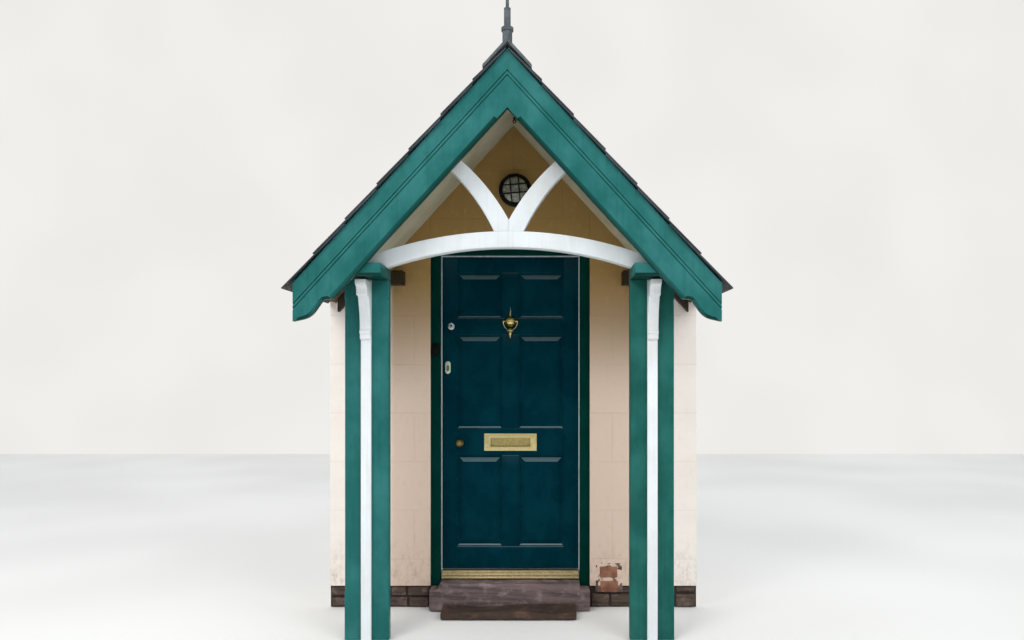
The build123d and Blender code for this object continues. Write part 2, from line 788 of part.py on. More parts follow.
# Rafters against the house wall
with BuildPart() as wall_rafters:
    with BuildSketch(Plane.XZ):
        for side, label in sides:
            add(slope_band(side, wall_rafter_ridge_gap, board_reach - deck_eaves_cut, rafter_low, deck_low))
        with Locations((0, plate_top)):
            Rectangle(2 * plate_outer, plate_height, align=(Align.CENTER, Align.MAX), mode=Mode.SUBTRACT)
    extrude(amount=wall_rafter_width)
save(wall_rafters.part, "wall_rafters")

for side, label in sides:
    # Sloping ceiling of the porch, seated on the plate
    with BuildPart() as soffit:
        with BuildSketch(Plane.XZ):
            with BuildLine():
                Polyline((0, soffit_low), (side * (soffit_low - plate_top) / slope, plate_top),
                         (side * (rafter_low - plate_top) / slope, plate_top), (0, rafter_low), close=True)
            make_face()
        extrude(amount=rafter_front)
    save(soffit.part, "soffit_" + label)

    # Roof boarding under the slates
    with BuildPart() as roof_boards:
        with BuildSketch(Plane.XZ):
            add(slope_band(side, 0, board_reach, deck_low, roof_top))
        extrude(amount=rafter_front)
    save(roof_boards.part, "roof_boards_" + label)

    # Slates, in stepped courses
    with BuildPart() as slates:
        with BuildSketch(Plane.XZ):
            outline = [(0, roof_top), (side * roof_half, on_slope(roof_top, roof_half))]
            for course in range(slate_courses):
                tail = slope_length - course * gauge
                head = tail - gauge
                for along, thick in ((tail, slate_tail), (head, slate_head)):
                    if along > 1:
                        out = along * cos(radians(pitch)) + thick * sin(radians(pitch))
                        drop = along * sin(radians(pitch)) - thick * cos(radians(pitch))
                        outline.append((side * out, roof_top - drop))
            outline.append((0, roof_top + rise(slate_head)))
            with BuildLine():
                Polyline(*outline, close=True)
            make_face()
        extrude(amount=verge_front)
    save(slates.part, "slates_" + label)

# Ridge tiles
with BuildPart() as ridge_tiles:
    for number in range(2):
        start = number * (ridge_tile_length + ridge_joint)
        with BuildSketch(Plane.XZ.offset(start)):
            with BuildLine():
                Polyline((0, ridge_low), (ridge_wing, on_slope(ridge_low, ridge_wing)),
                         (ridge_wing, on_slope(ridge_top, ridge_wing)), (0, ridge_top),
                         (-ridge_wing, on_slope(ridge_top, ridge_wing)),
                         (-ridge_wing, on_slope(ridge_low, ridge_wing)), close=True)
            make_face()
        extrude(amount=ridge_tile_length)
save(ridge_tiles.part, "ridge_tiles")

# Finial astride the front ridge tile
finial_y = finial_setback - 2 * ridge_tile_length - ridge_joint
finial_low = ridge_top - finial_skirt
finial_collar = ridge_top + finial_base_height
with BuildPart() as finial:
    with BuildSketch(Plane.XZ.offset(-finial_y)):
        with BuildLine():
            Polyline((0, finial_low), (finial_waist_radius, finial_low),
                     (finial_waist_radius, finial_collar - finial_collar_height),
                     (finial_base_radius, finial_collar - finial_collar_height),
                     (finial_base_radius, finial_collar), (finial_shaft_radius, finial_collar),
                     (finial_shaft_radius, ridge_top + finial_shaft_top),
                     (finial_spike_radius, ridge_top + finial_shaft_top),
                     (finial_spike_radius, ridge_top + finial_spike_top),
                     (0, ridge_top + finial_spike_top + finial_point), close=True)
        make_face()
    revolve(axis=Axis((0, finial_y, 0), (0, 0, 1)))
    with BuildSketch(Plane.XZ.offset(-finial_y - 2 * finial_base_radius)):
        with BuildLine():
            saddle = ridge_top + seat_gap
            saddle_wing = 2 * finial_base_radius
            Polyline((0, saddle), (saddle_wing, on_slope(saddle, saddle_wing)),
                     (saddle_wing, finial_low - saddle_wing), (-saddle_wing, finial_low - saddle_wing),
                     (-saddle_wing, on_slope(saddle, saddle_wing)), close=True)
        make_face()
    extrude(amount=4 * finial_base_radius, mode=Mode.SUBTRACT)
save(finial.part, "finial")

# Lead flashings between the slates and the wall
lead_low = roof_top + rise(slate_tail + 0.3)
lead_high = lead_low + rise(lead_thickness)
lead_start = ridge_wing + 20
with BuildPart() as flashings:
    for side, label in sides:
        with BuildSketch(Plane.XZ):
            add(slope_band(side, lead_start, roof_half, lead_low, lead_high))
        extrude(amount=lead_cover)
        with BuildSketch(Plane.XZ):
            add(slope_band(side, lead_start, roof_half, lead_low, lead_low + rise(lead_upstand)))
        extrude(amount=lead_thickness)
save(flashings.part, "flashings")

# Round bulkhead light over the door
light_plane = Plane.XZ
with BuildPart() as light_body:
    with BuildSketch(light_plane):
        with Locations((light_offset, light_height)):
            Circle(light_radius)
    extrude(amount=light_base)
    with BuildSketch(light_plane.offset(light_base)):
        with Locations((light_offset, light_height)):
            Circle(light_lens_radius)
    extrude(amount=-light_base / 2, mode=Mode.SUBTRACT)
    with BuildSketch(light_plane.offset(light_base)):
        with Locations(Location((light_offset, light_height, 0), (0, 0, light_turn))):
            for line in (-1, 1):
                with Locations((line * light_lens_radius / 3, 0)):
                    Rectangle(light_bar, 2 * light_guard_radius)
                with Locations((0, line * light_lens_radius / 3)):
                    Rectangle(2 * light_guard_radius, light_bar)
    extrude(amount=light_lens_rise + light_bar)
    with BuildSketch(light_plane.offset(light_base)):
        with Locations((light_offset, light_height)):
            Circle(light_guard_radius - light_bar)
    extrude(amount=light_lens_rise, mode=Mode.SUBTRACT)
save(light_body.part, "light_body")

with BuildPart() as light_glass:
    with BuildSketch(light_plane.offset(light_base / 2)):
        with Locations((light_offset, light_height)):
            Circle(light_lens_radius - 0.5)
    extrude(amount=light_base / 2 + light_lens_rise - 4)
    chamfer(light_glass.faces().sort_by(Axis.Y)[0].edges(), length=light_lens_chamfer)
save(light_glass.part, "light_glass")
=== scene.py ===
import bpy
import math
import random
from mathutils import Matrix, Vector


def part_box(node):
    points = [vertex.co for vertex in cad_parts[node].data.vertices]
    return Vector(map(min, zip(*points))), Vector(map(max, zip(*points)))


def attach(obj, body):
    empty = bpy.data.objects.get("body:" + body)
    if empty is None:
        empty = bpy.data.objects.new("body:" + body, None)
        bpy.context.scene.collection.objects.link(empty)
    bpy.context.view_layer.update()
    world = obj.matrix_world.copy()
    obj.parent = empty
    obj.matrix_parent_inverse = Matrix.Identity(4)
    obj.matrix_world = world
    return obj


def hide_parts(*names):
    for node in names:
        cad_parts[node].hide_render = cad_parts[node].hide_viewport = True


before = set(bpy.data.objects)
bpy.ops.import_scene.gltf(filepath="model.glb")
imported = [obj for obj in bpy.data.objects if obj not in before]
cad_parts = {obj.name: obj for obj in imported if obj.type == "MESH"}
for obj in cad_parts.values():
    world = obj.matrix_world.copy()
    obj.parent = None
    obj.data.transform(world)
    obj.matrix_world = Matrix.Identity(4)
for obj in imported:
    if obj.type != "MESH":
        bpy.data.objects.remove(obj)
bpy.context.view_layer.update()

# Sizes in millimetres, as in the part: X to the right, Y into the house, Z up
MM = 0.001

# Roof
PITCH_DEGREES = 47.5
PITCH = math.radians(PITCH_DEGREES)
ROOF_TOP = 3093.0
ROOF_HALF = 1130.0
VERGE_FRONT = 865.0

# Slates: whole ones across the roof's depth, each nearly twice as long as the part that shows
COURSES = 7
SLATES_ACROSS = 3
SLATE_REACH = 1.92
SLATE_THICK = 8.0
SLATE_TAIL = 24.0
SLATE_JOINT = 3.0
SLATE_HEAD_GAP = 6.0

# Planed arris of the bargeboards' tails
TAIL_REACH = 903.0
TAIL_DEPTH = 200.0
TAIL_ARRIS = 14.0

# Rubble plinth, and the patch of fallen render with its mortar, edge stones and two bricks
RENDER_FOOT = 134.0
PLINTH_FACE = 18.0
PLINTH_NEAR_GAP = 6.0
PLINTH_FAR_GAP = 4.0
STONE_WIDTH = (90.0, 180.0)
STONE_LEAST = 80.0
STONE_DEPTH = 44.0
STONE_PROUD = (10.0, 20.0)
STONE_JOINT = 3.0
STONE_BED = 2.0
STONE_WEAR = 9.0
PATCH_NEAR = 500.0
PATCH_FAR = 680.0
PATCH_TOP = 286.0
PATCH_FACE = 8.0
EDGE_STEP = 8.0
EDGE_MIDDLE = 175.0
EDGE_TOP = 250.0
BED_DEPTH = 24.0
BED_CENTRE = 7.0
BRICK_NEAR = 530.0
BRICK_FAR = 650.0
BRICK_FOOT = 88.0
BRICK_RISE = 88.0
BRICK_JOINT = 9.0
BRICK_DEPTH = 40.0
BRICK_CENTRE = 10.0
BRICK_SLIP = 4.0
BRICK_WEAR = 7.0

# Wear of stone and brick: rounded arrises, large and small hollows, and long hollows trodden into the step
BLOCK_ARRIS = 9.0
BLOCK_GRAIN = 6.0
BLOCK_HOLLOWS = (40.0, 14.0)
STONE_ARRIS = 7.0
STONE_GRAIN = 7.0
STONE_HOLLOWS = (160.0, 28.0)
SILL_WEAR = 5.0
STEP_WEAR = 6.0
STEP_HOLLOW = 38.0
STEP_HOLLOW_LENGTH = 260.0

# Screws of the letter plate, and the screw eye at the apex of the ceiling
SCREW_REACH = 152.0
EYE_X, EYE_Y, EYE_Z = 14.0, -200.0, 2932.0

# Turn of the grain about Y, in degrees: along the roof slope, along a brace and along a level piece
SLOPE_GRAIN = 90 - PITCH_DEGREES
BRACE_GRAIN = 38
LEVEL_GRAIN = 90

# Rubbing lines of brass that is wiped from side to side
RUBBED_ACROSS = (60, 1.2, 1.2)

# Camera, in metres, and its shift in pixels of the photo, which is 1024 wide
VIEWPOINT = (0.1765, -4.8, 1.452)
LENS = 27.39
PHOTO_WIDTH = 1024
SHIFT_RIGHT, SHIFT_UP = -30, 52


def colour(code):
    """Linear colour of an sRGB hex code."""
    parts = [int(code[i:i + 2], 16) / 255 for i in (0, 2, 4)]
    return tuple(p / 12.92 if p <= 0.04045 else ((p + 0.055) / 1.055) ** 2.4 for p in parts) + (1.0,)


def add(material, kind, inputs=None, **settings):
    """Adds one node with its settings, and with its inputs as values or as links from sockets."""
    node = material.node_tree.nodes.new("ShaderNode" + kind)
    for name, value in settings.items():
        setattr(node, name, value)
    for name, value in (inputs or {}).items():
        if isinstance(value, bpy.types.NodeSocket):
            material.node_tree.links.new(value, node.inputs[name])
        else:
            node.inputs[name].default_value = value
    return node


def pattern(m, size, detail=4.0, roughness=0.55, turn=0.0, distortion=0.0):
    """A natural mottle with features of this size in mm along X, Y and Z, turned about Y."""
    place = add(m, "TexCoord").outputs["Object"]
    laid = add(m, "Mapping", {"Vector": place, "Rotation": (0, math.radians(turn), 0),
                              "Scale": [s * MM for s in size]}, vector_type="TEXTURE")
    return add(m, "TexNoise", {"Vector": laid.outputs[0], "Scale": 1.0, "Detail": detail,
                               "Roughness": roughness, "Distortion": distortion}).outputs[0]


def where(m, *masks):
    """One share from masks multiplied. A mask is a value, the range it is spread over and, if not 1, the
    share that it reaches."""
    share = None
    for value, low, high, *reach in masks:
        spread = add(m, "MapRange", {0: value, 1: low, 2: high, 3: 0.0, 4: reach[0] if reach else 1.0},
                     interpolation_type="SMOOTHSTEP").outputs[0]
        if share is None:
            share = spread
        else:
            share = add(m, "Math", {0: share, 1: spread}, operation="MULTIPLY").outputs[0]
    return share


def layer(m, under, over, *masks):
    """Lays one colour over another where the masks let it through."""
    mix = add(m, "Mix", {0: where(m, *masks), 6: under, 7: over}, data_type="RGBA")
    return mix.outputs[2]


def rubbed(m, radius, low=0.02, high=0.3):
    """1 on arrises, 0 on flats: how far the rounded normal leaves the true one."""
    soft = add(m, "Bevel", {"Radius": radius * MM}, samples=4).outputs[0]
    true = add(m, "NewGeometry").outputs["Normal"]
    same = add(m, "VectorMath", {0: soft, 1: true}, operation="DOT_PRODUCT").outputs["Value"]
    return where(m, (same, 1 - low, 1 - high))


def upward(m):
    """How far a face looks up: for dust that settles, for a painted highlight on faces that look up and for
    painted shade on faces that look down.
    """
    return add(m, "SeparateXYZ", {"Vector": add(m, "NewGeometry").outputs["Normal"]}).outputs["Z"]


def relief(m, depth, *patterns):
    """Bump of this depth in mm over patterns that are added by their shares."""
    height = 0.0
    for value, share in patterns:
        height = add(m, "Math", {0: value, 1: share, 2: height}, operation="MULTIPLY_ADD").outputs[0]
    return add(m, "Bump", {"Height": height, "Distance": depth * MM}).outputs[0]


def finished(m, base, wear, low, high, normal, **constants):
    """Closes a material with its colour, its roughness from low to high as the wear rises, its relief, and
    constants for shader sockets, named as in specular_ior_level."""
    rough = add(m, "MapRange", {0: wear, 1: 0.3, 2: 0.7, 3: low, 4: high}).outputs[0]
    node = m.node_tree.nodes["Principled BSDF"]
    for name, socket in (("Base Color", base), ("Roughness", rough), ("Normal", normal)):
        m.node_tree.links.new(socket, node.inputs[name])
    for name, value in constants.items():
        node.inputs[name.replace("_", " ").title().replace("Ior", "IOR")].default_value = value
    return m


def material(name):
    """A new material with an empty Principled shader."""
    m = bpy.data.materials.new(name)
    m.use_nodes = True
    return m


def gloss_paint(name, code, faded, grime_and_shade, turn=0.0, gloss=0.3, wear=0.5, sheen=0.14, glint="ffffff",
                marks=0.5, dust=0.0, shade=0.0):
    """Brushed oil gloss on joinery: a soft sheen, faint brush marks along the grain, rain-streaked dirt and
    rubbed arrises, where asked a pale blue-grey painted highlight on faces that look up, and where asked
    painted shade on undersides in the dirt colour."""
    m = material(name)
    brush = pattern(m, (1.6, 1.6, 70), detail=3, turn=turn)
    grain = pattern(m, (9, 9, 240), detail=5, roughness=0.65, turn=turn)
    cloud = pattern(m, (170, 170, 230), detail=5)
    run = pattern(m, (16, 16, 420), detail=4)
    speck = pattern(m, (3.5, 3.5, 3.5), detail=4, roughness=0.7)
    base = layer(m, colour(code), colour(faded), (cloud, 0.32, 0.72))
    base = layer(m, base, colour(grime_and_shade), (run, 0.5, 0.78, 0.45 * wear))
    base = layer(m, base, colour(faded), (rubbed(m, 3.0), 0, 1, 0.55 * wear), (speck, 0.4, 0.64))
    base = layer(m, base, colour(grime_and_shade), (rubbed(m, 2.0, 0.1, 0.5), 0, 1, wear), (speck, 0.6, 0.66))
    # Painted highlight: the dust share lays a pale blue-grey on faces that look up, standing for the sky's
    # light on them
    if dust:
        base = layer(m, base, colour("8fa3a8"), (upward(m), 0.12, 0.5, dust))
    # Painted shade: faces that look down take the grime colour, standing for the shade beneath them
    if shade:
        base = layer(m, base, colour(grime_and_shade), (upward(m), -0.2, -0.6, shade))
    marked = relief(m, marks, (brush, 0.35), (grain, 0.65))
    return finished(m, base, cloud, gloss, gloss + 0.18, marked, ior=1.5, specular_ior_level=sheen,
                    specular_tint=colour(glint))


def lime_render():
    """Masonry paint on lime render: a chalky pale cream, trowelled flat with sandy grit, faint ruled joints,
    damp stains near the ground and, on the wall under the porch roof, a warm tan tone that darkens upwards
    to brown as painted shade beneath the roof. Places are in metres here, as the object's own coordinates
    are."""
    m = material("painted_lime_render")
    axes = add(m, "SeparateXYZ", {"Vector": add(m, "TexCoord").outputs["Object"]})
    x, y, z = (axes.outputs[axis] for axis in "XYZ")
    cloud = pattern(m, (420, 420, 300), detail=6, roughness=0.6)
    trowel = pattern(m, (140, 140, 45), detail=4, distortion=0.6)
    sand = pattern(m, (2.2, 2.2, 2.2), detail=3)
    fine = pattern(m, (35, 35, 60), detail=6, roughness=0.7)
    front = add(m, "CombineXYZ", {"X": x, "Y": z}).outputs[0]
    ruled = add(m, "TexBrick", {"Vector": front, "Scale": 1.0, "Mortar Size": 0.0022, "Mortar Smooth": 0.8,
                                "Brick Width": 0.61, "Row Height": 0.3}).outputs["Fac"]
    across = add(m, "Math", {0: x}, operation="ABSOLUTE").outputs[0]
    under_porch_roof = where(m, (across, 0.80, 0.72), (y, 0.03, 0.01))
    slope = add(m, "Math", {0: across, 1: math.tan(PITCH), 2: z}, operation="MULTIPLY_ADD").outputs[0]
    base = layer(m, colour("fff6ee"), colour("faeee4"), (cloud, 0.3, 0.75))
    base = layer(m, base, colour("eadccf"), (fine, 0.5, 0.72, 0.22))
    base = layer(m, base, colour("cbb8a8"), (ruled, 0, 1, 0.2), (under_porch_roof, 1.1, 0))
    # Painted shade under the porch roof: warm tan low down, darkening to brown towards the roof
    tan = layer(m, colour("dfc7b5"), colour("a3824c"), (z, 1.25, 2.1))
    tan = layer(m, tan, colour("c7a98a"), (fine, 0.52, 0.75, 0.3))
    base = layer(m, base, tan, (under_porch_roof, 0, 1), (slope, 3.05, 2.98))
    base = layer(m, base, colour("a5907c"), (z, 0.5, 0.13, 0.5), (fine, 0.42, 0.72))
    base = layer(m, base, colour("33271f"), (z, 0.137, 0.132), (y, 0.010, 0.014), (y, 0.026, 0.022))
    uneven = relief(m, 2.4, (trowel, 0.7), (sand, 0.18), (ruled, -0.5))
    return finished(m, base, sand, 0.78, 0.95, uneven, ior=1.45)


def stone(name, code, light, dark, grit=2.5, moss=0.0):
    """Worn sandstone: bedded colour bands, open grit, arrises polished pale by feet and mossy damp."""
    m = material(name)
    bed = pattern(m, (320, 320, 22), detail=6, roughness=0.6, turn=3)
    cloud = pattern(m, (90, 90, 60), detail=6, roughness=0.65)
    grain = pattern(m, (grit, grit, grit), detail=4, roughness=0.7)
    pit = pattern(m, (11, 11, 8), detail=5, roughness=0.7)
    base = layer(m, colour(code), colour(dark), (bed, 0.35, 0.68))
    base = layer(m, base, colour(light), (cloud, 0.48, 0.74, 0.7))
    base = layer(m, base, colour(dark), (grain, 0.56, 0.77, 0.5))
    base = layer(m, base, colour(light), (rubbed(m, 9.0), 0, 1, 0.75), (cloud, 0.3, 0.62))
    base = layer(m, base, colour("4c4f2c"), (cloud, 0.46, 0.4, moss))
    return finished(m, base, grain, 0.7, 0.92, relief(m, 1.6, (pit, 0.7), (grain, 0.3)), ior=1.5)


def roof_slate():
    """Riven slate: blue grey with a silky cleaved face and pale lichen freckles."""
    m = material("riven_slate")
    rift = pattern(m, (60, 60, 9), detail=6, roughness=0.65)
    cloud = pattern(m, (190, 260, 190), detail=4)
    freckle = pattern(m, (12, 12, 12), detail=5, roughness=0.75)
    base = layer(m, colour("262d30"), colour("3b4247"), (cloud, 0.32, 0.68))
    base = layer(m, base, colour("83877c"), (freckle, 0.62, 0.71, 0.65))
    base = layer(m, base, colour("555c61"), (rubbed(m, 1.5), 0, 1, 0.35))
    return finished(m, base, rift, 0.45, 0.7, relief(m, 1.0, (rift, 1.0)), ior=1.55, specular_ior_level=0.35)


def fired_clay(name, code, pale, dark):
    """Weathered fired clay: matt, with darker clouds and a crazed salty skin."""
    m = material(name)
    cloud = pattern(m, (70, 90, 70), detail=6, roughness=0.65)
    skin = pattern(m, (4, 4, 4), detail=4, roughness=0.7)
    base = layer(m, colour(code), colour(dark), (cloud, 0.4, 0.66))
    base = layer(m, base, colour(pale), (skin, 0.58, 0.74, 0.6))
    base = layer(m, base, colour(pale), (rubbed(m, 3.0), 0, 1, 0.5))
    return finished(m, base, skin, 0.65, 0.9, relief(m, 0.7, (skin, 1.0)), ior=1.5)


def sheet_lead():
    """Milled sheet lead: dull blue grey with a whitish bloom and soft dressing dents."""
    m = material("milled_lead")
    bloom = pattern(m, (45, 45, 60), detail=6, roughness=0.65)
    dent = pattern(m, (28, 40, 28), detail=2)
    base = layer(m, colour("6d7276"), colour("9da1a2"), (bloom, 0.4, 0.65))
    return finished(m, base, bloom, 0.5, 0.72, relief(m, 1.5, (dent, 1.0)), metallic=0.55)


def rubbed_metal(name, code, tarnish, low, high, grain=(1.2, 1.2, 26), amount=0.6, dirt=0.0):
    """Polished or lacquered metal: bright rubbed edges, brown tarnish creeping over it, fine rubbing lines
    and, where asked, dirt trodden into its grooves."""
    m = material(name)
    rub = pattern(m, grain, detail=3)
    film = pattern(m, (13, 13, 13), detail=6, roughness=0.65)
    speck = pattern(m, (2.0, 2.0, 2.0), detail=3)
    base = layer(m, colour(code), colour(tarnish), (film, 0.4, 0.7, amount))
    base = layer(m, base, colour(tarnish), (speck, 0.62, 0.71, amount))
    base = layer(m, base, colour(code), (rubbed(m, 1.2), 0, 1, 0.5))
    if dirt:
        open_sky = add(m, "AmbientOcclusion", {"Distance": 12 * MM}, samples=8).outputs["AO"]
        base = layer(m, base, colour("1f180b"), (open_sky, dirt, dirt - 0.25))
    return finished(m, base, film, low, high, relief(m, 0.06, (rub, 1.0)), metallic=1.0)


def cast_enamel(name, code, pale):
    """Cast iron in black enamel: an orange-peel gloss with chalky dust on its upper faces."""
    m = material(name)
    peel = pattern(m, (3, 3, 3), detail=2)
    dust = pattern(m, (22, 22, 22), detail=5)
    base = layer(m, colour(code), colour(pale), (upward(m), 0.2, 0.9, 0.5), (dust, 0.4, 0.6))
    base = layer(m, base, colour(pale), (rubbed(m, 1.0), 0, 1, 0.35))
    return finished(m, base, dust, 0.28, 0.5, relief(m, 0.12, (peel, 1.0)), ior=1.5, specular_ior_level=0.2)


def lamp_glass():
    """Pressed prismatic glass: grey and milky, thin dust between its ribs, bright glints on the rounds."""
    m = material("ribbed_lamp_glass")
    dust = pattern(m, (18, 18, 18), detail=5)
    swirl = pattern(m, (30, 30, 30), detail=2)
    base = layer(m, colour("9a9c8f"), colour("cccdbf"), (dust, 0.4, 0.7))
    return finished(m, base, dust, 0.12, 0.3, relief(m, 0.8, (swirl, 1.0)), ior=1.5, transmission_weight=0.2,
                    coat_weight=0.5, coat_roughness=0.08)


def sawn_timber(name, code, dark, turn=0.0):
    """Unpainted softwood: brown grain bands with darker knots and a dry sawn surface."""
    m = material(name)
    grain = pattern(m, (7, 7, 260), detail=5, roughness=0.6, turn=turn, distortion=0.4)
    fibre = pattern(m, (1.4, 1.4, 50), detail=3, turn=turn)
    knot = pattern(m, (70, 70, 150), detail=2, turn=turn)
    base = layer(m, colour(code), colour(dark), (grain, 0.33, 0.7))
    base = layer(m, base, colour(dark), (knot, 0.67, 0.75, 0.7))
    return finished(m, base, fibre, 0.7, 0.9, relief(m, 0.5, (fibre, 1.0)), ior=1.5)


def moulded_plastic(name, code, worn, rough):
    """Moulded plastic: even colour with a fine spark-eroded grain and a thin film of dirt."""
    m = material(name)
    spark = pattern(m, (1.0, 1.0, 1.0), detail=2)
    film = pattern(m, (30, 30, 60), detail=5)
    base = layer(m, colour(code), colour(worn), (film, 0.45, 0.7, 0.6))
    return finished(m, base, film, rough, rough + 0.2, relief(m, 0.08, (spark, 1.0)), ior=1.46,
                    specular_ior_level=0.1)


# Finishes, in the photo's colours
RENDER = lime_render()
SILL = stone("weathered_sandstone_sill", "796664", "a39290", "4b3e3e", moss=0.1)
STEP = stone("worn_brown_sandstone_step", "402d22", "634b3a", "251914", moss=0.15)
RUBBLE = stone("rubble_stone_plinth", "57433b", "85746a", "32251f", moss=0.15)
MORTAR = stone("crumbling_lime_mortar", "6b5a4d", "94806f", "41352c")
BRICK = fired_clay("common_orange_brick", "9c6a50", "c09c88", "6f4433")
# Sea green: its grime colour also paints shade on the undersides, at full strength
SEA_GREEN = {"code": "22625f", "faded": "347573", "grime_and_shade": "0f3b35", "glint": "9fd8d4", "shade": 1.0}
GREEN_POST = gloss_paint("sea_green_gloss_upright", **SEA_GREEN)
GREEN_DULL = gloss_paint("dulled_green_gloss_upright", "1a534c", "2a6961", "103832", glint="9fd8d4")
GREEN_LEFT = gloss_paint("sea_green_gloss_left_slope", turn=SLOPE_GRAIN, **SEA_GREEN)
GREEN_RIGHT = gloss_paint("sea_green_gloss_right_slope", turn=-SLOPE_GRAIN, **SEA_GREEN)
GREEN_LEVEL = gloss_paint("sea_green_gloss_level", turn=LEVEL_GRAIN, **SEA_GREEN)
WHITE_POST = gloss_paint("white_gloss_upright", "e8edf0", "dfe2e2", "b9b5a8", wear=0.4)
WHITE_ARCH = gloss_paint("white_gloss_level", "e4eaee", "dbe0e0", "b6b3a8", turn=LEVEL_GRAIN, wear=0.4)
BRACE_WHITE = {"code": "e4e9ed", "faded": "dbdfdf", "grime_and_shade": "b6b3a8", "wear": 0.4}
WHITE_LEFT = gloss_paint("white_gloss_left_brace", turn=BRACE_GRAIN, **BRACE_WHITE)
WHITE_RIGHT = gloss_paint("white_gloss_right_brace", turn=-BRACE_GRAIN, **BRACE_WHITE)
FRAME = gloss_paint("dark_green_gloss_frame", "012a25", "06352d", "011813", gloss=0.24, wear=0.3,
                    glint="2f9080")
# Door teal: its dust share is a pale blue-grey painted highlight on the faces that look up
DARK_TEAL = {"code": "012833", "faded": "04323d", "grime_and_shade": "001920", "gloss": 0.2, "wear": 0.15,
             "marks": 0.2, "dust": 0.5, "glint": "2f8f9c"}
DOOR = gloss_paint("dark_teal_gloss_upright", **DARK_TEAL)
DOOR_LEVEL = gloss_paint("dark_teal_gloss_level", turn=LEVEL_GRAIN, **DARK_TEAL)
OLD_CREAM = {"code": "cdcab6", "faded": "bdb9a0", "grime_and_shade": "9c947a", "gloss": 0.6}
SOFFIT_LEFT = gloss_paint("old_cream_distemper_left", turn=SLOPE_GRAIN, **OLD_CREAM)
SOFFIT_RIGHT = gloss_paint("old_cream_distemper_right", turn=-SLOPE_GRAIN, **OLD_CREAM)
DARK_STAIN = gloss_paint("dark_brown_stained_softwood", "2a2215", "3a301f", "17120a",
                         turn=LEVEL_GRAIN, gloss=0.5)
SLATE = roof_slate()
RIDGE = fired_clay("blue_grey_ridge_clay", "5c6569", "858c8f", "41484c")
LEAD = sheet_lead()
BRASS = rubbed_metal("polished_brass", "d8c480", "9c8448", 0.2, 0.36, amount=0.4)
BRASS_LEVEL = rubbed_metal("brushed_brass_level", "cfc08a", "a3925a", 0.28, 0.44, grain=RUBBED_ACROSS,
                           amount=0.3)
TREAD_BRASS = rubbed_metal("trodden_brass", "c8b587", "8c774d", 0.3, 0.5, grain=RUBBED_ACROSS,
                           amount=0.5, dirt=0.9)
FLAP_BRASS = rubbed_metal("dulled_brass_flap", "a89a66", "7d6f42", 0.34, 0.5, grain=RUBBED_ACROSS, amount=0.5)
AGED_BRASS = rubbed_metal("aged_brass", "8f7c4c", "4a3c22", 0.28, 0.46, amount=0.7)
NICKEL = rubbed_metal("satin_nickel", "b9bfc0", "7c8080", 0.22, 0.36, amount=0.3)
PALE_COVER = rubbed_metal("pale_lacquered_alloy", "ccd6c2", "8d9a7c", 0.3, 0.45, amount=0.6)
DULL_COVER = rubbed_metal("dulled_alloy", "6f7f66", "465240", 0.35, 0.5, amount=0.6)
IRON = cast_enamel("black_enamelled_casting", "0e0f10", "454643")
LAMP_GLASS = lamp_glass()
SAWN_DECK = sawn_timber("sawn_softwood_deck", "7d5f3d", "503824", turn=LEVEL_GRAIN)
DARK_RAFTER = sawn_timber("smoke_dark_softwood", "3b2c1e", "20160e", turn=LEVEL_GRAIN)
BLACK_PLASTIC = moulded_plastic("black_phenolic", "050606", "0f1010", 0.3)
WHITE_STRIP = moulded_plastic("white_vinyl_strip", "bcc5c7", "969b97", 0.4)


def alone(piece):
    """Selects one object and nothing else."""
    bpy.ops.object.select_all(action="DESELECT")
    piece.select_set(True)
    bpy.context.view_layer.objects.active = piece


def edit(piece, select="SELECT"):
    """Opens a piece for editing, with all of it or none of it selected."""
    alone(piece)
    bpy.ops.object.mode_set(mode="EDIT")
    bpy.ops.mesh.select_all(action=select)


def close_edit(outwards=True):
    """Leaves editing, with the faces turned outwards if asked."""
    if outwards:
        bpy.ops.mesh.select_all(action="SELECT")
        bpy.ops.mesh.normals_make_consistent(inside=False)
    bpy.ops.object.mode_set(mode="OBJECT")


def apply(piece, kind, **settings):
    """Adds a modifier with its settings and applies it."""
    alone(piece)
    modifier = piece.modifiers.new(kind.title(), kind)
    for name, value in settings.items():
        setattr(modifier, name, value)
    bpy.ops.object.modifier_apply(modifier=modifier.name)


def smooth(piece, angle=35):
    """Shades a piece smooth, apart from arrises sharper than this angle."""
    alone(piece)
    bpy.ops.object.shade_smooth_by_angle(angle=math.radians(angle))


def dress(piece, finish, body="porch", stands_for=()):
    """Gives a piece its finish, the body it rides on and the CAD nodes it stands for."""
    piece.data.materials.clear()
    piece.data.materials.append(finish)
    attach(piece, body)
    if stands_for:
        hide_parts(*stands_for)
    return piece


def eased(node, finish, body="porch", width=1.5, steps=2, angle=30, shaped=None):
    """A CAD node's own shape, shaped further where asked, with its arrises eased to catch the light."""
    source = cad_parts[node]
    piece = bpy.data.objects.new(node + "_eased", source.data.copy())
    bpy.context.collection.objects.link(piece)
    edit(piece)
    bpy.ops.mesh.remove_doubles(threshold=0.00002)
    bpy.ops.mesh.dissolve_limited(angle_limit=math.radians(0.5))
    close_edit(outwards=False)
    if shaped:
        shaped(piece)
    apply(piece, "BEVEL", width=width * MM, segments=steps, limit_method="ANGLE",
          angle_limit=math.radians(angle), harden_normals=False)
    smooth(piece)
    return dress(piece, finish, body, (node,))


def hollowed(piece, size, depth):
    """Wears a piece inwards by up to this depth, over hollows of this size in mm."""
    wear = bpy.data.textures.new(piece.name + "_wear", "CLOUDS")
    wear.noise_scale = size * MM
    apply(piece, "DISPLACE", texture=wear, texture_coords="LOCAL", mid_level=1.0, strength=depth * MM)


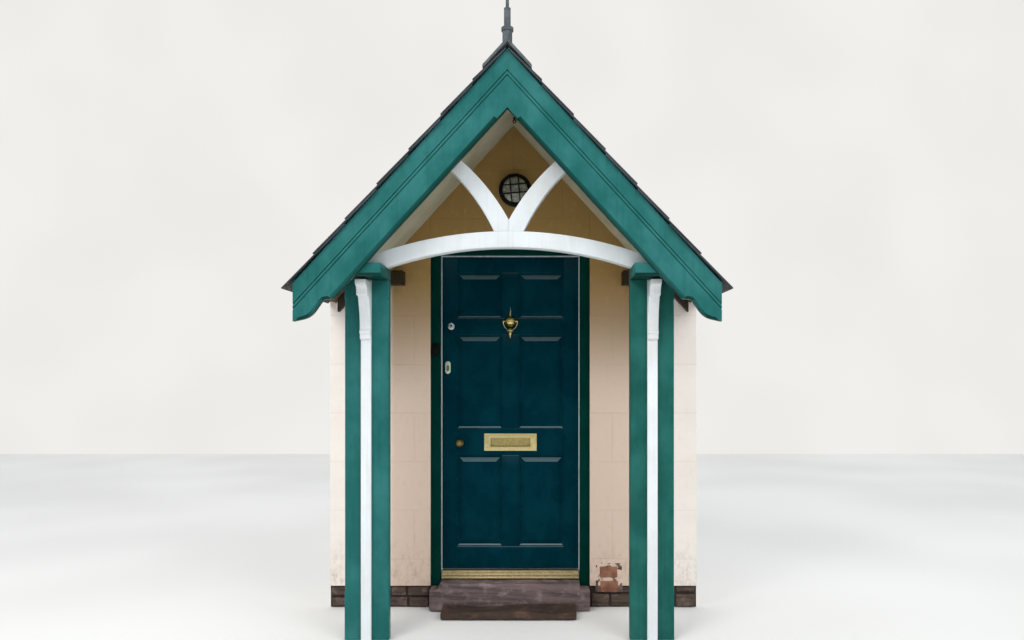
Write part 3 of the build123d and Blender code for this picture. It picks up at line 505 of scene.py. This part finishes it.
def trodden(piece, depth):
    """Wears long hollows into a step: none at its foot, up to this depth at its top."""
    heights = [vertex.co.z for vertex in piece.data.vertices]
    foot, top = min(heights), max(heights)
    tread = piece.vertex_groups.new(name="tread")
    for index, height in enumerate(heights):
        tread.add([index], (height - foot) / (top - foot), "REPLACE")
    wear = bpy.data.textures.new(piece.name + "_tread", "CLOUDS")
    wear.noise_scale = STEP_HOLLOW_LENGTH * MM
    wear.noise_depth = 0
    apply(piece, "DISPLACE", texture=wear, texture_coords="LOCAL", vertex_group="tread", direction="Z",
          mid_level=1.0, strength=depth * MM)
    piece.vertex_groups.clear()


def worn(node, finish, slot, depth):
    """A CAD node's own shape as weathered stone: arrises rounded, faces hollowed by feet and frost."""
    large, small = STONE_HOLLOWS
    piece = eased(node, finish, width=STONE_ARRIS, steps=3)
    apply(piece, "REMESH", mode="VOXEL", voxel_size=STONE_GRAIN * MM)
    apply(piece, "SMOOTH", iterations=3)
    hollowed(piece, large, depth)
    hollowed(piece, small, depth * 0.35)
    smooth(piece, 180)
    return piece


def block(name, size, place):
    """A box of this size, in mm, centred at this place, ready to be shaped."""
    bpy.ops.object.select_all(action="DESELECT")
    bpy.ops.mesh.primitive_cube_add(size=1, location=[p * MM for p in place], scale=[s * MM for s in size])
    piece = bpy.context.object
    piece.name = name
    bpy.ops.object.transform_apply(location=True, rotation=True, scale=True)
    return piece


def turned(name, profile, place, forwards=True, sides=48):
    """A turned piece: a disc drawn up and scaled ring by ring, (radius, height) in mm, standing upright or
    pointing forwards out of the house."""
    bpy.ops.object.select_all(action="DESELECT")
    bpy.ops.mesh.primitive_circle_add(vertices=sides, radius=profile[0][0] * MM, fill_type="NGON",
                                      location=(0, 0, profile[0][1] * MM))
    piece = bpy.context.object
    piece.name = name
    bpy.ops.object.transform_apply(location=True, rotation=True, scale=True)
    edit(piece)
    for (radius, height), (wider, higher) in zip(profile, profile[1:]):
        bpy.ops.mesh.extrude_region_move(TRANSFORM_OT_translate={"value": (0, 0, (higher - height) * MM)})
        bpy.ops.transform.resize(value=(wider / radius, wider / radius, 1),
                                 center_override=(0, 0, higher * MM))
    close_edit()
    laid = Matrix.Rotation(math.radians(90), 4, "X") if forwards else Matrix.Identity(4)
    piece.data.transform(Matrix.Translation([p * MM for p in place]) @ laid)
    smooth(piece, 40)
    return piece


def copy_at(piece, matrix, name):
    """A copy with its own mesh, laid by this matrix."""
    twin = bpy.data.objects.new(name, piece.data.copy())
    bpy.context.collection.objects.link(twin)
    twin.data.transform(matrix)
    return twin


def joined(pieces, name):
    """Joins pieces into one object of this name."""
    alone(pieces[0])
    for piece in pieces:
        piece.select_set(True)
    bpy.ops.object.join()
    whole = bpy.context.object
    whole.name = name
    return whole


def bin_piece(piece):
    """Removes a piece that only served as a pattern."""
    bpy.data.objects.remove(piece, do_unlink=True)


def rough_block(name, size, place, depth):
    """A stone or brick with rounded arrises, its faces hollowed by frost up to this depth in mm."""
    large, small = BLOCK_HOLLOWS
    laid = block(name, size, place)
    apply(laid, "BEVEL", width=BLOCK_ARRIS * MM, segments=2, limit_method="ANGLE")
    apply(laid, "REMESH", mode="VOXEL", voxel_size=BLOCK_GRAIN * MM)
    hollowed(laid, large, depth)
    hollowed(laid, small, depth / 3)
    smooth(laid, 180)
    return laid


def stones(side, near, far, low, high, face, chance):
    """A course of uneven stones between two places, standing a little proud of this face."""
    laid = []
    start = near
    while start < far:
        width = chance.uniform(*STONE_WIDTH)
        if far - start - width < STONE_LEAST:
            width = far - start
        proud = chance.uniform(*STONE_PROUD)
        size = (width - STONE_JOINT, STONE_DEPTH, high - low - STONE_BED)
        place = (side * (start + width / 2), face + STONE_DEPTH / 2 - proud, (low + high) / 2)
        laid.append(rough_block("stone", size, place, STONE_WEAR))
        start += width
    return laid


def plane_tail(board):
    """Planes off the lower front arris of a bargeboard's curved tail."""
    front = min(vertex.co.y for vertex in board.data.vertices) / MM

    def on_tail(end):
        below_roof_line = ROOF_TOP - abs(end.x) * math.tan(PITCH) - end.z
        return end.y < front + 0.1 and abs(end.x) > TAIL_REACH and below_roof_line > TAIL_DEPTH

    edit(board, "DESELECT")
    bpy.ops.object.mode_set(mode="OBJECT")
    for edge in board.data.edges:
        edge.select = all(on_tail(board.data.vertices[v].co / MM) for v in edge.vertices)
    bpy.ops.object.mode_set(mode="EDIT")
    bpy.ops.mesh.bevel(offset=TAIL_ARRIS * MM, segments=1)
    close_edit()


def lay_slates(side, label):
    """One slope of slates, each one laid: courses broken by half a slate, two thick everywhere."""
    rafter = ROOF_HALF / math.cos(PITCH)
    gauge = rafter / COURSES
    length = SLATE_REACH * gauge
    width = VERGE_FRONT / SLATES_ACROSS
    across = Vector((0, 1, 0))
    down = Vector((side * math.cos(PITCH), 0, -math.sin(PITCH)))
    out = Vector((side * math.sin(PITCH), 0, math.cos(PITCH)))
    chance = random.Random(47 + side)
    slate = block("slate_master", (width - SLATE_JOINT, length, SLATE_THICK), (0, 0, 0))
    apply(slate, "BEVEL", width=1.4 * MM, segments=1, limit_method="ANGLE")
    laid = []
    for course in range(COURSES):
        tail = rafter - course * gauge
        reach = min(length, tail - SLATE_HEAD_GAP)
        tilt = math.atan2(SLATE_TAIL - SLATE_THICK, reach)
        along = (down * math.cos(tilt) + out * math.sin(tilt)).normalized()
        face = along.cross(across) * (1 if along.cross(across).z > 0 else -1)
        turn = Matrix((across, along, face)).transposed().to_4x4()
        broken = course % 2
        for number in range(SLATES_ACROSS + broken):
            left = (number - broken / 2) * width
            near, far = max(left, 0), min(left + width, VERGE_FRONT)
            narrowed = (far - near) / width * chance.uniform(0.985, 1.0)
            scale = Matrix.Diagonal((narrowed, reach / length, chance.uniform(0.8, 1.0), 1))
            sunk = chance.uniform(-1.0, 0.0)
            slipped = chance.uniform(0, 3)
            centre = down * (tail - reach / 2 - slipped) + out * (SLATE_TAIL / 2 + sunk)
            centre += Vector((0, -(near + far) / 2, ROOF_TOP))
            laid.append(copy_at(slate, Matrix.Translation(centre * MM) @ turn @ scale, "slate"))
    bin_piece(slate)
    roof = joined(laid, "laid_slates_" + label)
    edit(roof)
    close_edit()
    smooth(roof, 30)
    dress(roof, SLATE, "porch", ("slates_" + label,))


def front_middle(node):
    """The middle of a CAD node's front face, in mm."""
    low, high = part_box(node)
    return Vector(((low[0] + high[0]) / 2, low[1], (low[2] + high[2]) / 2)) / MM


def stage_plane(name, size, place, turn, code, glow):
    """A pale floor or backdrop with a soft mottle. One that glows shows its own colour to the camera, in
    reflections and through glass, and lights nothing else."""
    bpy.ops.object.select_all(action="DESELECT")
    bpy.ops.mesh.primitive_plane_add(size=size, location=place, rotation=turn)
    plane = bpy.context.object
    plane.name = name
    m = material(name + "_paper")
    shade = pattern(m, (2500, 2500, 2500), detail=1)
    paper = layer(m, colour(code), colour("ecebe8"), (shade, 0.3, 0.7))
    finished(m, paper, shade, 0.88, 0.92, relief(m, 0.1, (shade, 1.0)))
    if glow:
        nodes = m.node_tree.nodes
        path = add(m, "LightPath").outputs
        seen = path["Is Camera Ray"]
        for ray in ("Is Glossy Ray", "Is Transmission Ray"):
            seen = add(m, "Math", {0: seen, 1: path[ray]}, operation="MAXIMUM").outputs[0]
        lit = add(m, "Emission", {"Color": paper, "Strength": seen}).outputs[0]
        mixed = add(m, "MixShader", {0: seen, 1: nodes["Principled BSDF"].outputs[0], 2: lit}).outputs[0]
        m.node_tree.links.new(mixed, nodes["Material Output"].inputs["Surface"])
    plane.data.materials.append(m)


def lamp(name, place, aim, size, power, tint):
    """A round area lamp at a place in metres, turned to its aim."""
    data = bpy.data.lights.new(name, "AREA")
    data.shape = "DISK"
    data.size = size
    data.energy = power
    data.color = tint
    thing = bpy.data.objects.new(name, data)
    thing.location = place
    thing.rotation_euler = (Vector(aim) - Vector(place)).to_track_quat("-Z", "Y").to_euler()
    bpy.context.collection.objects.link(thing)


# House wall
for node in ("wall_left", "wall_right", "wall_over_door"):
    eased(node, RENDER, width=4, steps=3)

# Rubble plinth below the render; low at the right the render has fallen from mortar, stones and two bricks
chance = random.Random(12)
near_left = -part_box("wall_left")[1][0] / MM + PLINTH_NEAR_GAP
near_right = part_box("wall_right")[0][0] / MM + PLINTH_NEAR_GAP
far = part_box("wall_right")[1][0] / MM - PLINTH_FAR_GAP
middle = RENDER_FOOT / 2
left_stones = stones(-1, near_left, far, 0, middle, PLINTH_FACE, chance)
left_stones += stones(-1, near_left, far, middle, RENDER_FOOT, PLINTH_FACE, chance)
dress(joined(left_stones, "rubble_plinth_left"), RUBBLE)
right_stones = stones(1, near_right, far, 0, BRICK_FOOT, PLINTH_FACE, chance)
right_stones += stones(1, BRICK_FAR, far, BRICK_FOOT, RENDER_FOOT, PLINTH_FACE, chance)
right_stones += stones(1, PATCH_NEAR, BRICK_NEAR, BRICK_FOOT, EDGE_MIDDLE, PATCH_FACE, chance)
right_stones += stones(1, PATCH_NEAR + EDGE_STEP, BRICK_NEAR, EDGE_MIDDLE, EDGE_TOP, PATCH_FACE, chance)
dress(joined(right_stones, "rubble_plinth_right"), RUBBLE)

size = (PATCH_FAR - PATCH_NEAR, BED_DEPTH, PATCH_TOP - BRICK_FOOT)
place = ((PATCH_NEAR + PATCH_FAR) / 2, BED_CENTRE, (PATCH_TOP + BRICK_FOOT) / 2)
dress(rough_block("mortar_bedding", size, place, STONE_WEAR), MORTAR)

bricks = []
for course in (0, 1):
    place = ((BRICK_NEAR + BRICK_FAR) / 2 - BRICK_SLIP * course, BRICK_CENTRE,
             BRICK_FOOT + BRICK_RISE * (course + 0.5))
    size = (BRICK_FAR - BRICK_NEAR, BRICK_DEPTH, BRICK_RISE - BRICK_JOINT)
    bricks.append(rough_block("brick", size, place, BRICK_WEAR))
dress(joined(bricks, "exposed_bricks"), BRICK)

# Frame, threshold and small fittings of the frame
for node in ("frame_jamb_left", "frame_jamb_right", "frame_head"):
    eased(node, FRAME, width=2)
eased("door_sill", FRAME, width=2)
eased("draught_strips", WHITE_STRIP, width=1)
eased("brass_threshold", TREAD_BRASS, width=0.6)
eased("hinges", AGED_BRASS, width=0.5)
eased("bell_push", BLACK_PLASTIC, width=2.5, steps=3)

# Door leaf and its furniture
for node, finish in (("door_stiles", DOOR), ("door_rails", DOOR_LEVEL), ("lock_rail", DOOR_LEVEL),
                     ("door_muntins", DOOR)):
    eased(node, finish, "door", width=1.6)
eased("door_panels", DOOR, "door", width=0.6, angle=12)
eased("panel_mouldings", DOOR, "door", width=0.6)
eased("letter_plate", BRASS_LEVEL, "door", width=2.0, steps=3)
eased("knocker_plate", BRASS, "door", width=0.8)
eased("knob_roses", AGED_BRASS, "door", width=2.0, steps=3)
eased("cylinder_lock", NICKEL, "door", width=0.8)
eased("keyhole_cover", PALE_COVER, "door", width=1.5, steps=3)
eased("letter_flap", FLAP_BRASS, "flap", width=0.8)
eased("knocker_bail", BRASS, "knocker", width=0.8, angle=60)
eased("door_knobs", AGED_BRASS, "knob", width=0.8, angle=60)

# Posts, plates, consoles and gable
for side, board, brace_white, deck in (("left", GREEN_LEFT, WHITE_LEFT, SOFFIT_LEFT),
                                       ("right", GREEN_RIGHT, WHITE_RIGHT, SOFFIT_RIGHT)):
    eased("post_" + side, GREEN_POST if side == "left" else GREEN_DULL, width=2)
    eased("plate_" + side, GREEN_LEVEL, width=2)
    eased("wall_block_" + side, DARK_STAIN, width=3, steps=3)
    eased("pilaster_" + side, WHITE_POST, width=2)
    eased("console_" + side, WHITE_POST, width=2.5, steps=3, angle=25)
    eased("brace_" + side, brace_white, width=2)
    eased("barge_rafter_" + side, board, width=2)
    eased("bargeboard_" + side, board, width=2.2, shaped=plane_tail)
    eased("soffit_" + side, deck, width=1)
    eased("roof_boards_" + side, SAWN_DECK, width=1)
eased("arch_tie", WHITE_ARCH, width=2.5)
eased("wall_rafters", DARK_RAFTER, width=1.5)
eased("ridge_tiles", RIDGE, width=4, steps=3)
eased("finial", RIDGE, width=1.5, angle=40)
eased("flashings", LEAD, width=0.8)
eased("light_body", IRON, width=1.2)
eased("light_glass", LAMP_GLASS, width=2.0)

# Sill and step
worn("sill_stone", SILL, "sill_stone", SILL_WEAR)
trodden(worn("front_step", STEP, "step_stone", STEP_WEAR), STEP_HOLLOW)


# Slates
lay_slates(-1, "left")
lay_slates(1, "right")


# Bell button
bell = front_middle("bell_push")
button = turned("bell_button", [(9, 0), (9, 3), (7.5, 5), (3, 6)], bell + Vector((0, 1, 0)), sides=32)
dress(button, BLACK_PLASTIC)

# Keyway of the lock
lock = front_middle("cylinder_lock")
barrel = turned("keyway_round", [(6, 0), (6, 0.8), (5, 1.2)], lock + Vector((1, 0.6, 5)), sides=28)
slot = block("keyway_slot", (5, 1.2, 15), lock + Vector((-1, 0.1, -5)))
apply(slot, "BEVEL", width=0.3 * MM, segments=2, limit_method="ANGLE")
dress(joined([barrel, slot], "lock_keyway"), BLACK_PLASTIC, "door")

# Raised oval of the keyhole cover
cover = front_middle("keyhole_cover")
oval = turned("keyhole_oval", [(9, 0), (9, 1.2), (8, 1.8), (6.4, 1.8), (5.6, 0.9)], (0, 0, 0), sides=40)
stretched = Matrix.Diagonal((1, 1, 2.1, 1))
oval.data.transform(Matrix.Translation((cover + Vector((0, 0.4, -4))) * MM) @ stretched)
dress(oval, DULL_COVER, "door")

# Screws of the letter plate
screw = turned("screw_master", [(4.2, 0), (4.2, 0.6), (3.4, 1.4), (1.5, 1.8)], (0, 0, 0), sides=20)
plate = front_middle("letter_plate")
heads = [copy_at(screw, Matrix.Translation((plate + Vector((x, 0.3, 0))) * MM), "head")
         for x in (-SCREW_REACH, SCREW_REACH)]
dress(joined(heads, "letter_plate_screws"), BRASS, "door")
bin_piece(screw)

# Screw eye at the apex of the ceiling
bpy.ops.object.select_all(action="DESELECT")
bpy.ops.mesh.primitive_torus_add(location=(EYE_X * MM, EYE_Y * MM, EYE_Z * MM),
                                 rotation=(math.radians(90), 0, 0),
                                 major_radius=9 * MM, minor_radius=3.5 * MM,
                                 major_segments=28, minor_segments=10)
ring = bpy.context.object
bpy.ops.object.transform_apply(location=True, rotation=True, scale=True)
stem = turned("eye_stem", [(4, 0), (4, 8), (7, 8.5), (7, 18)], (EYE_X, EYE_Y, EYE_Z + 8),
              forwards=False, sides=20)
eye = joined([ring, stem], "ceiling_screw_eye")
smooth(eye)
dress(eye, IRON)


# Stage, sky, lamps and camera
stage_plane("floor", 40, (0, 0, -0.002), (0, 0, 0), "f6f5f2", False)
stage_plane("backdrop", 60, (0, 9, 0), (math.radians(90), 0, 0), "f1f0ed", True)

world = bpy.data.worlds.new("studio")
bpy.context.scene.world = world
world.use_nodes = True
height = add(world, "SeparateXYZ", {"Vector": add(world, "TexCoord").outputs["Generated"]}).outputs["Z"]
sky = world.node_tree.nodes["Background"]
sky.inputs["Color"].default_value = (0.93, 0.96, 1.0, 1)
graded = add(world, "MapRange", {0: height, 1: -0.1, 2: 0.7, 3: 0.3, 4: 1.05},
             interpolation_type="SMOOTHSTEP")
world.node_tree.links.new(graded.outputs[0], sky.inputs["Strength"])


lamp("sky_left", (-4.5, -7.0, 7.5), (0, 0, 1.4), 5.0, 350, (1.0, 0.98, 0.95))
lamp("sky_right", (5.0, -6.5, 6.0), (0, 0, 1.6), 5.0, 200, (0.95, 0.98, 1.0))

lens = bpy.data.cameras.new("photo_view")
lens.sensor_width = 36
lens.lens = LENS
lens.shift_x = SHIFT_RIGHT / PHOTO_WIDTH
lens.shift_y = SHIFT_UP / PHOTO_WIDTH
viewer = bpy.data.objects.new("photo_view", lens)
viewer.location = VIEWPOINT
viewer.rotation_euler = (math.radians(90), 0, 0)
bpy.context.collection.objects.link(viewer)
bpy.context.scene.camera = viewer
bpy.context.scene.view_settings.view_transform = "Standard"
